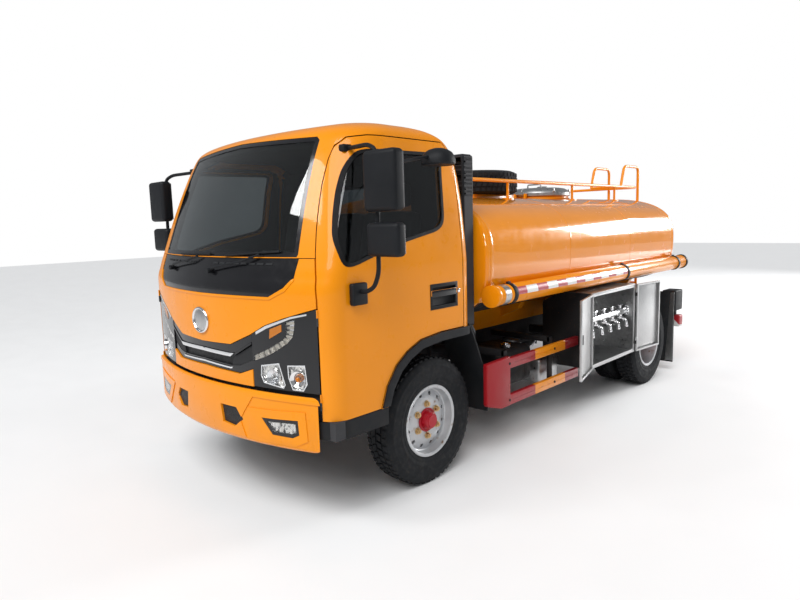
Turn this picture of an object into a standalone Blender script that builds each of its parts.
"""A small cab-over water tanker truck, in metres, +Z up, standing on the ground and facing -Y.

Places along the truck are measured from the front axle, heights from the ground.
"""

import math

import bmesh
import bpy
from mathutils import Matrix, Vector

# Driving dimensions of the chassis
FRONT_OVERHANG = 1.015
WHEELBASE = 2.95
REAR_OVERHANG = 0.99
RAIL_OUTER = 0.36
RAIL_FLANGE = 0.07
RAIL_SHEET = 0.008
RAIL_BOTTOM = 0.55
RAIL_TOP = 0.72
RAIL_FRONT = -0.83
RAIL_REAR = 3.80
SIDE_PLANE = 0.93
REAR_BAR_TOP = 0.52

# Driving dimensions of the wheels
TYRE_RADIUS = 0.385
TYRE_HALF_WIDTH = 0.095
RIM_RADIUS = 0.207
LIP_RADIUS = 0.217
RIM_HALF_WIDTH = 0.075
LIP_THICKNESS = 0.009
HUB_BORE = 0.050
SPINDLE_RADIUS = 0.049
FACETS = 20
FRONT_TRACK_HALF = 0.75
KINGPIN_HALF = 0.63
REAR_INNER_HALF = 0.645
REAR_OUTER_HALF = 0.885

# Driving dimensions of the cab
CAB_HALF_WIDTH = 0.93
CAB_FRONT = -0.988
CAB_REAR = 0.29
CAB_BOTTOM = 0.60
FRONT_CROWN = 2.3
CAB_WALL = 0.056
DOOR_THICKNESS = 0.045
DOOR_GAP = 0.006
DOOR_BACK_GAP = 0.0065
DOOR_LAP = 0.022
DOOR_SEAT_TOP = 1.92
DOOR_INNER_LIMIT = 0.70
DOOR_PANEL_GAP = 0.0092
PANEL_THICKNESS = 0.035
PANEL_GAP = 0.004
GLASS_THICKNESS = 0.007
GLASS_DEPTH = 0.006
FOOT_FLOOR = 0.81
SEAT_FLOOR = 1.00
TUNNEL_HALF = 0.40
TUNNEL_TOP = 0.96
UNDERCUT_TOP = 0.735
TILT_AXIS = (-0.90, 0.79)

# Driving dimensions of the bumper
BUMPER_FRONT = -FRONT_OVERHANG
BUMPER_HALF_WIDTH = 0.94
BUMPER_END = -0.854
BUMPER_BOTTOM = 0.435
BUMPER_TOP = 0.722
BUMPER_WALL = 0.020

# Driving dimensions of the tank and what stands on it
TANK_HALF_WIDTH = 0.895
TANK_HALF_HEIGHT = 0.43
TANK_AXIS_HEIGHT = 1.31
TANK_FRONT = 0.50
TANK_REAR = 3.72
TANK_DISH = 0.10
TANK_ROUNDNESS = 3.0
TANK_POINTS = 32
MANHOLE_Y = 2.60
MANHOLE_RADIUS = 0.28
LID_RADIUS = 0.30
COLLAR_TOP = 1.77
HOSE_TUBE_RADIUS = 0.065
HOSE_TUBE_HEIGHT = 1.085
CABINET_OUTER = 1.02
CABINET_INNER = 0.60
CABINET_FRONT = 1.67
CABINET_REAR = 2.49
CABINET_BOTTOM = 0.39
CABINET_TOP = 0.985
CABINET_WALL = 0.020
CABINET_DOOR_THICKNESS = 0.018

SEAT_GAP = 0.0003
FRONT_AXLE_Y = (FRONT_OVERHANG - WHEELBASE - REAR_OVERHANG) / 2
TANK_TOP = TANK_AXIS_HEIGHT + TANK_HALF_HEIGHT

# Sections of the cab: height, narrower by, front set back, rear set in, corner radius
CAB_SECTIONS = (
    (0.600, 0.000, 0.000, 0.00, 0.12),
    (1.220, 0.000, 0.000, 0.00, 0.12),
    (1.320, 0.000, 0.023, 0.00, 0.12),
    (1.405, 0.005, 0.053, 0.00, 0.13),
    (1.600, 0.025, 0.123, 0.00, 0.17),
    (1.800, 0.050, 0.203, 0.01, 0.22),
    (1.950, 0.075, 0.273, 0.04, 0.25),
    (2.030, 0.095, 0.323, 0.10, 0.27),
    (2.080, 0.150, 0.408, 0.19, 0.27),
    (2.110, 0.250, 0.538, 0.31, 0.18),
    (2.125, 0.410, 0.640, 0.38, 0.08),
)

# Outlines on the cab's front, half of each: across from the middle, height
COWL_EDGE = ((0.0, 1.206), (0.573, 1.208), (0.668, 1.253), (0.709, 1.300), (0.714, 1.405))
PANEL_EDGE = ((0.0, 0.938), (0.27, 0.946), (0.433, 1.013), (0.531, 1.065), (0.656, 1.109), (0.95, 1.195))
STRIP_TOP = ((0.0, 0.802), (0.33, 0.794), (0.43, 0.829))
STRIP_BOTTOM = 0.735
POD_INNER = 0.436
POD_BOTTOM = 0.738

# The front edge of the door on the cab's skin: height, across
DOOR_FRONT_EDGE = (
    (0.500, 0.849), (1.210, 0.849), (1.304, 0.835), (1.426, 0.800), (1.537, 0.776),
    (1.654, 0.756), (1.774, 0.740), (1.896, 0.731), (1.965, 0.735), (2.100, 0.735),
)
# Outlines on the cab's side: along from the front axle, height
DOOR_OUTLINE = (
    (-1.05, 0.605), (-1.05, 1.70), (-0.66, 1.90), (-0.574, 1.965), (-0.526, 2.003), (-0.433, 2.015),
    (0.125, 2.015), (0.145, 2.00), (0.19, 1.93), (0.20, 1.90), (0.20, 0.941),
    (-0.013, 0.941), (-0.190, 0.923),
    (-0.303, 0.875), (-0.389, 0.814), (-0.464, 0.713), (-0.505, 0.605),
)
WINDOW_OUTLINE = (
    (-0.720, 1.365), (-0.732, 1.492), (-0.698, 1.612), (-0.653, 1.735), (-0.599, 1.844), (-0.534, 1.918),
    (-0.484, 1.940), (0.08, 1.950), (0.10, 1.93), (0.080, 1.828), (0.058, 1.561), (0.002, 1.518),
    (-0.317, 1.459), (-0.66, 1.362),
)
ARCH_OUTLINE = (
    (-0.505, 0.600), (-0.464, 0.713), (-0.389, 0.814), (-0.303, 0.875), (-0.190, 0.923),
    (-0.013, 0.941), (0.279, 0.941),
)
ARCH_TRIM = 0.055

ORANGE = (0.84, 0.33, 0.012)
BLACK = (0.018, 0.018, 0.020)
STEEL = (0.62, 0.63, 0.64)
DARK_STEEL = (0.045, 0.047, 0.05)


def clear_scene():
    for leftover in list(bpy.data.objects):
        bpy.data.objects.remove(leftover, do_unlink=True)
    for name in ("tanker_truck", "cutters"):
        bpy.context.scene.collection.children.link(bpy.data.collections.new(name))


# Basic shapes


def add_object(name, mesh):
    """A new object of this mesh among the cutters, until it is finished as a part."""
    made = bpy.data.objects.new(name, mesh)
    made.hide_render = True
    made.display_type = "WIRE"
    bpy.data.collections["cutters"].objects.link(made)
    return made


def from_bmesh(name, shape):
    """An object of a closed shape, with its faces pointing out."""
    bmesh.ops.recalc_face_normals(shape, faces=shape.faces)
    if shape.calc_volume(signed=True) < 0:
        bmesh.ops.reverse_faces(shape, faces=shape.faces)
    mesh = bpy.data.meshes.new(name)
    shape.to_mesh(mesh)
    shape.free()
    return add_object(name, mesh)


def box(name, across, along, height):
    """A box between two values on each axis."""
    shape = bmesh.new()
    bmesh.ops.create_cube(shape, size=1)
    sides = [high - low for low, high in (across, along, height)]
    middle = [(high + low) / 2 for low, high in (across, along, height)]
    bmesh.ops.scale(shape, vec=sides, verts=shape.verts)
    bmesh.ops.translate(shape, vec=middle, verts=shape.verts)
    return from_bmesh(name, shape)


def rod(name, start, end, radius, sides=10, end_radius=None):
    """A round bar, or a cone where the end's radius differs."""
    start, end = Vector(start), Vector(end)
    turn = (end - start).to_track_quat("Z", "Y").to_matrix().to_4x4()
    shape = bmesh.new()
    bmesh.ops.create_cone(
        shape, cap_ends=True, segments=sides, radius1=radius,
        radius2=radius if end_radius is None else end_radius, depth=(end - start).length,
        matrix=Matrix.Translation((start + end) / 2) @ turn @ Matrix.Rotation(math.pi / sides, 4, "Z"),
    )
    return from_bmesh(name, shape)


def evaluated_mesh(source, weld=0.0):
    """The object's mesh with its modifiers or its curve's bevel, closed where the ends meet."""
    bpy.context.view_layer.update()
    graph = bpy.context.evaluated_depsgraph_get()
    mesh = bpy.data.meshes.new_from_object(source.evaluated_get(graph))
    shape = bmesh.new()
    shape.from_mesh(mesh)
    if weld:
        bmesh.ops.remove_doubles(shape, verts=shape.verts, dist=weld)
    shape.transform(source.matrix_world)
    return shape


def turned(name, profile, centre, axis=(0, 0, 1), steps=FACETS, closed=True):
    """A profile of (radius, place along the axis) turned round the axis through the centre."""
    mesh = bpy.data.meshes.new(name)
    count = len(profile)
    edges = [(i, i + 1) for i in range(count - 1)]
    if closed:
        edges.append((count - 1, 0))
    half_step = math.pi / steps
    points = []
    for radius, along in profile:
        points.append((radius * math.cos(half_step), radius * math.sin(half_step), along))
    mesh.from_pydata(points, edges, [])
    made = add_object(name, mesh)
    screw = made.modifiers.new("turn", "SCREW")
    screw.steps = steps
    screw.render_steps = steps
    screw.use_merge_vertices = True
    screw.merge_threshold = 0.00001
    shape = evaluated_mesh(made, 0.00001)
    turn = Vector(axis).to_track_quat("Z", "Y").to_matrix().to_4x4()
    shape.transform(Matrix.Translation(centre) @ turn)
    bpy.data.objects.remove(made)
    return from_bmesh(name, shape)


def tube(name, points, radius, sides=1, closed=False):
    """A round tube through the points."""
    curve = bpy.data.curves.new(name, "CURVE")
    curve.dimensions = "3D"
    spline = curve.splines.new("POLY")
    spline.points.add(len(points) - 1)
    for target, point in zip(spline.points, points):
        target.co = (*point, 1)
    spline.use_cyclic_u = closed
    curve.bevel_depth = radius
    curve.bevel_resolution = sides
    curve.use_fill_caps = True
    made = bpy.data.objects.new(name, curve)
    bpy.data.collections["cutters"].objects.link(made)
    shape = evaluated_mesh(made, 0.00001)
    bpy.data.objects.remove(made)
    return from_bmesh(name, shape)


def plate(name, outline, axis, low, high):
    """A flat outline made thick along X, Y or Z. Its points are (y, z), (x, z) or (x, y)."""
    curve = bpy.data.curves.new(name, "CURVE")
    curve.dimensions = "2D"
    curve.fill_mode = "BOTH"
    curve.extrude = (high - low) / 2
    spline = curve.splines.new("POLY")
    spline.points.add(len(outline) - 1)
    for target, point in zip(spline.points, outline):
        target.co = (*point, 0, 1)
    spline.use_cyclic_u = True
    made = bpy.data.objects.new(name, curve)
    bpy.data.collections["cutters"].objects.link(made)
    columns = {
        "X": ((0, 1, 0), (0, 0, 1), (1, 0, 0)),
        "Y": ((1, 0, 0), (0, 0, 1), (0, 1, 0)),
        "Z": ((1, 0, 0), (0, 1, 0), (0, 0, 1)),
    }[axis]
    turn = Matrix(columns).transposed().to_4x4()
    made.matrix_world = Matrix.Translation(Vector(columns[2]) * (low + high) / 2) @ turn
    shape = evaluated_mesh(made, 0.00001)
    bpy.data.objects.remove(made)
    return from_bmesh(name, shape)


def loft(name, rings):
    """A closed body through rings of as many points each."""
    shape = bmesh.new()
    rows = [[shape.verts.new(point) for point in ring] for ring in rings]
    count = len(rings[0])
    for lower, upper in zip(rows, rows[1:]):
        for i in range(count):
            j = (i + 1) % count
            if i < count // 2:
                shape.faces.new((lower[i], lower[j], upper[j]))
                shape.faces.new((lower[i], upper[j], upper[i]))
            else:
                shape.faces.new((lower[i], lower[j], upper[i]))
                shape.faces.new((lower[j], upper[j], upper[i]))
    shape.faces.new(rows[0][::-1])
    shape.faces.new(rows[-1])
    return from_bmesh(name, shape)


def boolean(body, tool, operation):
    """Applies one Boolean and removes the tool. The exact solver loses faces of the cab's thin layers."""
    step = body.modifiers.new(operation.lower(), "BOOLEAN")
    step.operation = operation
    step.solver = "MANIFOLD"
    step.object = tool
    shape = evaluated_mesh(body)
    body.modifiers.clear()
    shape.to_mesh(body.data)
    shape.free()
    bpy.data.objects.remove(tool)
    return body


def join(body, *others):
    for other in others:
        boolean(body, other, "UNION")
    return body


def cut(body, *tools):
    for tool in tools:
        boolean(body, tool, "DIFFERENCE")
    return body


def common(body, tool):
    return boolean(body, tool, "INTERSECT")


def rounded_box(name, across, along, height, radius, segments=2):
    """A box with its edges rounded by a Bevel."""
    made = box(name, across, along, height)
    bevel = made.modifiers.new("edges", "BEVEL")
    bevel.width = radius
    bevel.segments = segments
    bevel.limit_method = "NONE"
    shape = evaluated_mesh(made)
    bpy.data.objects.remove(made)
    return from_bmesh(name, shape)


# Outlines


def both_sides(half):
    """The outline of a half, given from the middle outwards and back, with its mirror image."""
    mirrored = [(-x, y) for x, y in reversed(half) if x > 0]
    return list(half) + mirrored


def mirrored_to(side, points):
    return [(side * point[0], *point[1:]) for point in points]


def grown(outline, distance):
    """The outline with every side moved outwards by the distance, or inwards if negative."""
    count = len(outline)
    area = 0
    for i in range(count):
        (ax, ay), (bx, by) = outline[i], outline[(i + 1) % count]
        area += ax * by - bx * ay
    sign = 1 if area > 0 else -1
    moved = []
    for i in range(count):
        before, here, after = (Vector(outline[k % count]) for k in (i - 1, i, i + 1))
        first = (here - before).normalized()
        second = (after - here).normalized()
        first_out = Vector((first.y, -first.x)) * sign
        second_out = Vector((second.y, -second.x)) * sign
        middle = (first_out + second_out).normalized()
        moved.append(tuple(here + middle * distance / max(middle.dot(first_out), 0.3)))
    return moved


def arc(centre, radius, start, end, count):
    """Points on an arc between two angles in degrees."""
    points = []
    for i in range(count + 1):
        angle = math.radians(start + (end - start) * i / count)
        points.append((centre[0] + radius * math.cos(angle), centre[1] + radius * math.sin(angle)))
    return points


# The body's skin


def plan_half(half_width, front, rear, corner):
    """Half of a horizontal section: the crowned front, its corner, the side and the rear corner."""
    across = half_width
    for _ in range(6):
        slope = math.atan(across / FRONT_CROWN)
        across = half_width - corner * (1 - math.sin(slope))
    points = []
    for share in (0, 0.4, 0.75, 1):
        points.append((across * share, front + (across * share) ** 2 / (2 * FRONT_CROWN)))
    centre_x = half_width - corner
    centre_y = front + across**2 / (2 * FRONT_CROWN) + corner * math.cos(slope)
    for i in range(1, 5):
        angle = slope + (math.pi / 2 - slope) * i / 4
        points.append((centre_x + corner * math.sin(angle), centre_y - corner * math.cos(angle)))
    rear_corner = min(0.08, corner)
    for i in range(3):
        angle = math.pi / 2 * i / 2
        points.append((
            half_width - rear_corner * (1 - math.cos(angle)),
            rear - rear_corner * (1 - math.sin(angle)),
        ))
    points.append((0, rear))
    return points


def cab_skin(name, inset):
    """The outside of the cab moved inwards by the inset, as a solid."""
    rings = []
    for height, narrower, setback, rear_in, corner in CAB_SECTIONS:
        level = height
        if height > 2.0:
            level -= inset
        if height == CAB_SECTIONS[0][0]:
            level = CAB_BOTTOM - 4 * max(inset, 0)
        half = plan_half(
            CAB_HALF_WIDTH - narrower - inset, CAB_FRONT + setback + inset,
            CAB_REAR - rear_in - inset, max(corner - inset, 0.03),
        )
        rings.append([(x, y, level) for x, y in both_sides(half)])
    return loft(name, rings)


def front_line(height):
    """Where the middle of the cab's front lies at this height."""
    below = CAB_SECTIONS[0]
    for section in CAB_SECTIONS[1:]:
        if height <= section[0]:
            share = (height - below[0]) / (section[0] - below[0])
            setback = below[2] + (section[2] - below[2]) * max(share, 0)
            return CAB_FRONT + setback
        below = section
    return CAB_FRONT + below[2]


def slab(name, outer, inner):
    """The layer of the cab between two insets."""
    return boolean(cab_skin(name, outer), cab_skin(name + "_core", inner), "DIFFERENCE")


DOOR_TANGENT = Vector((0.94, 0.342))
DOOR_NORMAL = Vector((0.342, -0.94))


def door_edge_point(height, across):
    return Vector((across, front_line(height) + across**2 / (2 * FRONT_CROWN)))


def door_side(side, shift):
    """All that lies behind the door's front edge, with the edge moved back by the shift."""
    rings = []
    for height, across in DOOR_FRONT_EDGE:
        on_skin = door_edge_point(height, across) + DOOR_TANGENT * shift
        outside = on_skin + DOOR_NORMAL * 0.12
        inside = on_skin - DOOR_NORMAL * 0.14
        plan = [outside, (1.3, outside.y), (1.3, 0.8), (0.2, 0.8), (0.2, inside.y), inside]
        rings.append([(side * point[0], point[1], height) for point in plan])
    return loft("door_side", rings)


def strip(name, start, end, thickness, low, high):
    """A flat bar standing on its edge between two points of the plan."""
    start, end = Vector(start), Vector(end)
    aside = (end - start).normalized().orthogonal() * thickness / 2
    return plate(name, [start + aside, end + aside, end - aside, start - aside], "Z", low, high)


# Pivots, paint and finishing


def pivot(name, place, parent=None):
    """An empty on a joint's axis. Its place is measured as the truck's sizes are."""
    empty = bpy.data.objects.new(name, None)
    bpy.data.collections["tanker_truck"].objects.link(empty)
    empty["place"] = place
    if parent is None:
        empty.location = (0, FRONT_AXLE_Y, 0)
    else:
        empty.parent = parent
        empty.location = Vector(place) - Vector(parent["place"])
    return empty


def finish(part, name, carrier, colour, roughness=0.4, metallic=0.0):
    """Names, paints and hangs one finished part on its carrier."""
    part.name = name
    part.data.name = name
    bpy.data.collections["cutters"].objects.unlink(part)
    bpy.data.collections["tanker_truck"].objects.link(part)
    part.hide_render = False
    part.display_type = "TEXTURED"
    part.parent = carrier
    part.location = -Vector(carrier["place"])
    paint = bpy.data.materials.new(name)
    paint.use_nodes = True
    shader = paint.node_tree.nodes["Principled BSDF"]
    shader.inputs["Base Color"].default_value = (*colour, 1)
    shader.inputs["Roughness"].default_value = roughness
    shader.inputs["Metallic"].default_value = metallic
    paint.diffuse_color = (*colour, 1)
    part.data.materials.clear()
    part.data.materials.append(paint)
    part.data.shade_smooth()
    part.data.set_sharp_from_angle(angle=math.radians(32))
    return part


# The chassis


def rail(side):
    """One frame rail, a channel open inwards."""
    outer, inner = RAIL_OUTER, RAIL_OUTER - RAIL_FLANGE
    web = RAIL_OUTER - RAIL_SHEET
    channel = [
        (inner, RAIL_BOTTOM), (outer, RAIL_BOTTOM), (outer, RAIL_TOP), (inner, RAIL_TOP),
        (inner, RAIL_TOP - RAIL_SHEET), (web, RAIL_TOP - RAIL_SHEET),
        (web, RAIL_BOTTOM + RAIL_SHEET), (inner, RAIL_BOTTOM + RAIL_SHEET),
    ]
    return plate("rail", mirrored_to(side, channel), "Y", RAIL_FRONT, RAIL_REAR)


CROSS_MEMBERS = (-0.80, 0.42, 1.15, 1.90, 2.45, 3.45, 3.76)
FRONT_SPRING_REACH = 0.52
REAR_SPRING_REACH = 0.55
SPRING_X = 0.325
SPRING_HALF_WIDTH = 0.030
HANGER_BOTTOM = 0.49


def chassis_frame(truck):
    frame = join(rail(1), rail(-1))
    web = RAIL_OUTER - RAIL_SHEET / 2
    for y in CROSS_MEMBERS:
        join(frame, box("member", (-web, web), (y - 0.02, y + 0.02), (RAIL_BOTTOM + 0.02, RAIL_TOP - 0.02)))
    pivot_y, pivot_z = TILT_AXIS
    join(frame, rod("pivot_bar", (-0.22, pivot_y, pivot_z), (0.22, pivot_y, pivot_z), 0.012))
    bracket = [
        (pivot_y - 0.008, pivot_z + 0.020), (pivot_y + 0.012, pivot_z + 0.020), (-0.800, 0.720),
        (-0.785, 0.570), (-0.815, 0.570), (-0.838, 0.700), (pivot_y - 0.016, pivot_z - 0.008),
    ]
    for side in (1, -1):
        low, high = sorted((side * 0.185, side * 0.205))
        join(frame, plate("pivot_bracket", bracket, "X", low, high))
        join(frame, bumper_arm(side))
        for axle_y in (0, WHEELBASE):
            for end in (-1, 1):
                join(frame, spring_hanger(side, axle_y, end))
    return finish(frame, "chassis_frame", truck, DARK_STEEL, 0.5, 0.3)


def bumper_arm(side):
    """The flat arm that carries the bumper from the front of a rail."""
    at = RAIL_OUTER - RAIL_SHEET / 2
    inner_face = BUMPER_FRONT + at**2 / (2 * FRONT_CROWN) + BUMPER_WALL + SEAT_GAP
    low, high = sorted((side * (at - 0.012), side * (at + 0.004)))
    return box("bumper_arm", (low, high), (inner_face + 0.0015, RAIL_FRONT + 0.06), (0.56, 0.66))


def spring_eye_y(axle_y, end):
    return axle_y + end * (REAR_SPRING_REACH if axle_y else FRONT_SPRING_REACH)


def spring_hanger(side, axle_y, end):
    """Two cheeks under the rail that hold a spring's eye, with the web between them above it."""
    y = spring_eye_y(axle_y, end)
    outer, inner = SPRING_X + SPRING_HALF_WIDTH, SPRING_X - SPRING_HALF_WIDTH
    hanger = box("hanger", sorted((side * (inner - 0.01), side * (outer + 0.01))), (y - 0.035, y + 0.035),
                 (HANGER_BOTTOM, RAIL_BOTTOM + 0.004))
    slot = box("slot", sorted((side * (inner - SEAT_GAP), side * (outer + SEAT_GAP))), (y - 0.04, y + 0.04),
               (HANGER_BOTTOM - 0.01, HANGER_BOTTOM + 0.0353))
    return cut(hanger, slot)


def spring(side, axle_y, seat):
    """A leaf spring that sags from its eyes to the axle."""
    reach = spring_eye_y(axle_y, 1) - axle_y
    top, bottom = [], []
    for i in range(7):
        place = -1 + i / 3
        sag = (HANGER_BOTTOM + 0.035 - seat - 0.07) * place * place
        thickness = 0.07 - 0.045 * abs(place)
        top.append((axle_y + place * reach, seat + 0.07 + sag))
        bottom.append((axle_y + place * reach, seat + 0.07 + sag - thickness))
    low, high = sorted((side * (SPRING_X - SPRING_HALF_WIDTH), side * (SPRING_X + SPRING_HALF_WIDTH)))
    return plate("spring", top + bottom[::-1], "X", low, high)


BEAM_TOP = 0.43


def front_axle(truck):
    """The dropped beam between the kingpins, with its springs."""
    middle = FRONT_TRACK_HALF - KINGPIN_HALF
    beam_bottom = TYRE_RADIUS - 0.055
    half = [
        (0.0, beam_bottom - 0.02), (0.38, beam_bottom - 0.02), (0.50, beam_bottom + 0.005),
        (KINGPIN_HALF, beam_bottom + 0.005), (KINGPIN_HALF, BEAM_TOP), (0.50, BEAM_TOP),
        (0.38, BEAM_TOP - 0.03), (0.0, BEAM_TOP - 0.03),
    ]
    axle = plate("beam", both_sides(half), "Y", -0.030, 0.030)
    for side in (1, -1):
        x = side * KINGPIN_HALF
        join(axle, rod("boss", (x, 0, beam_bottom), (x, 0, BEAM_TOP + 0.005), 0.035, 16))
        join(axle, rod("kingpin", (x, 0, beam_bottom - middle / 2), (x, 0, BEAM_TOP + middle / 2), 0.014))
        join(axle, spring(side, 0, BEAM_TOP - 0.035))
    return finish(axle, "front_axle", truck, DARK_STEEL, 0.5, 0.3)


def rear_axle(truck):
    """The axle tube with its gear case, drums and springs."""
    y, z = WHEELBASE, TYRE_RADIUS
    axle = rod("tube", (-0.72, y, z), (0.72, y, z), 0.055, 16)
    case = [(0.0, -0.13), (0.10, -0.12), (0.165, -0.06), (0.175, 0.0), (0.165, 0.06), (0.10, 0.12),
            (0.0, 0.13)]
    join(axle, turned("case", case, (0, y, z), (1, 0, 0), 16, closed=False))
    join(axle, rod("nose", (0, y - 0.24, z), (0, y, z), 0.055, 12, 0.10))
    for side in (1, -1):
        join(axle, rod("drum", (side * 0.57, y, z), (side * 0.735, y, z), 0.155, FACETS))
        spindle_end = REAR_OUTER_HALF + 0.035
        join(axle, spindle(side, 0.70, spindle_end, y))
        join(axle, spring(side, WHEELBASE, z + 0.02))
    return finish(axle, "rear_axle", truck, DARK_STEEL, 0.5, 0.3)


def spindle(side, start, end, y):
    profile = [(0.0, start), (SPINDLE_RADIUS, start), (SPINDLE_RADIUS, end), (0.0, end)]
    return turned("spindle", profile, (0, y, TYRE_RADIUS), (side, 0, 0), FACETS, closed=False)


ENGINE_HALF = 0.26


def engine_block(truck):
    block = rounded_box("engine", (-ENGINE_HALF, ENGINE_HALF), (-0.62, 0.12), (0.47, 0.93), 0.03, 1)
    join(block, rod("gearbox", (0, 0.0, 0.62), (0, 0.38, 0.60), 0.14, 12, 0.10))
    web = RAIL_OUTER - RAIL_SHEET
    for y in (-0.45, -0.05):
        join(block, box("mount", (-web + SEAT_GAP, web - SEAT_GAP), (y - 0.03, y + 0.03), (0.60, 0.64)))
    return finish(block, "engine_block", truck, (0.12, 0.12, 0.13), 0.6, 0.4)


def propshaft(truck):
    start = (0, 0.4403, 0.60)
    end = (0, WHEELBASE - 0.2403, TYRE_RADIUS)
    shaft = rod("shaft", start, end, 0.036, 12)
    shaft = cut(
        shaft,
        box("front_face", (-0.2, 0.2), (0.2, 0.4405), (0.4, 0.8)),
        box("rear_face", (-0.2, 0.2), (WHEELBASE - 0.2405, WHEELBASE), (0.2, 0.6)),
    )
    return finish(shaft, "propshaft", truck, DARK_STEEL, 0.5, 0.3)


def bumper(truck):
    """The curved bumper shell with its air intakes and fog lamp pockets."""

    def bumper_body(name, inset, low, high):
        half = plan_half(BUMPER_HALF_WIDTH - inset, BUMPER_FRONT + inset, 0.3, 0.12 - inset)
        rings = []
        for height, tucked in ((low, 0.02), (low + 0.03, 0.0), (high - 0.02, 0.0), (high, 0.008)):
            rings.append([(x * (1 - tucked / 2), y + tucked, height) for x, y in both_sides(half)])
        return loft(name, rings)

    shell = cut(
        bumper_body("bumper", 0.0, BUMPER_BOTTOM, BUMPER_TOP),
        bumper_body("bumper_inside", BUMPER_WALL, BUMPER_BOTTOM - 0.1, BUMPER_TOP + 0.1),
        box("behind", (-1.2, 1.2), (BUMPER_END, 1.0), (0.2, 1.0)),
    )
    intake = [(0.185, 0.614), (0.319, 0.614), (0.365, 0.553), (0.300, 0.505), (0.200, 0.515)]
    fog_lamp = [(0.505, 0.587), (0.580, 0.590), (0.735, 0.600), (0.740, 0.525), (0.700, 0.505),
                (0.575, 0.505)]
    for side in (1, -1):
        cut(shell, plate("intake", mirrored_to(side, intake), "Y", -1.2, -0.8))
        pocket = plate("pocket", mirrored_to(side, fog_lamp), "Y", -1.2, -0.8)
        cut(shell, cut(pocket, bumper_body("pocket_floor", 0.012, 0.3, 0.9)))
    return finish(shell, "bumper", truck, ORANGE)


# The cab


def cab_floor_space():
    """The room inside the cab: the whole width above the seat floor, and a footwell on each side."""
    top = CAB_SECTIONS[-1][0]
    space = box("room", (-1.2, 1.2), (-1.2, 0.6), (SEAT_FLOOR, top + 0.1))
    for side in (1, -1):
        across = sorted((side * (TUNNEL_HALF + 0.02), side * 1.2))
        join(space, box("footwell", across, (-1.2, -0.40), (FOOT_FLOOR, SEAT_FLOOR + 0.01)))
    return common(space, cab_skin("inside", CAB_WALL))


def front_zone():
    """The part of the front that separate panels cover."""
    low, top = UNDERCUT_TOP - 0.3, COWL_EDGE[-1][1]
    outline = [(1.1, low), (1.1, top), (-1.1, top), (-1.1, low)]
    return plate("front_zone", outline, "Y", -1.3, -0.745)


WINDSHIELD_HALF = (
    (0.0, 1.411), (0.700, 1.411), (0.705, 1.425), (0.640, 2.000), (0.615, 2.020), (0.0, 2.042),
)
REAR_WINDOW = ((-0.52, 1.45), (0.52, 1.45), (0.48, 1.82), (-0.48, 1.82))


def arch_space(margin):
    """The outline of the room for the wheel, this much inside the outer line of its trim."""
    loop = [*ARCH_OUTLINE[:-1], (0.6, ARCH_OUTLINE[-1][1]), (0.6, 0.2), (ARCH_OUTLINE[0][0], 0.2)]
    return grown(loop, -margin)


def door_zone(side, growth, shift):
    """The door's outline as a solid, wide enough to reach through the wall."""
    low, high = sorted((side * (DOOR_INNER_LIMIT - growth), side * 1.2))
    zone = plate("door_zone", grown(DOOR_OUTLINE, growth), "X", low, high)
    return common(zone, door_side(side, shift))


def hinge_axis(side):
    on_skin = door_edge_point(0.9, DOOR_FRONT_EDGE[1][1])
    axis = on_skin + DOOR_NORMAL * 0.004
    return Vector((side * axis.x, axis.y))


HINGE_HEIGHTS = (0.70, 1.12)
HINGE_RADIUS = 0.0045


def hinge_leaf(side, reach_back, inwards, low, high):
    """A barrel on the door's axis and the leaf that holds it, from the gap into the wall."""
    axis = hinge_axis(1)
    foot = axis + DOOR_TANGENT * reach_back - DOOR_NORMAL * inwards
    barrel = rod("barrel", (side * axis.x, axis.y, low), (side * axis.x, axis.y, high), HINGE_RADIUS, 8)
    leaf = strip("leaf", (side * axis.x, axis.y), (side * foot.x, foot.y), 0.0025, low, high)
    return join(barrel, leaf)


BACK_START = 0.13
BACK_TOP = 1.93
ROOF_START = 1.407


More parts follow.
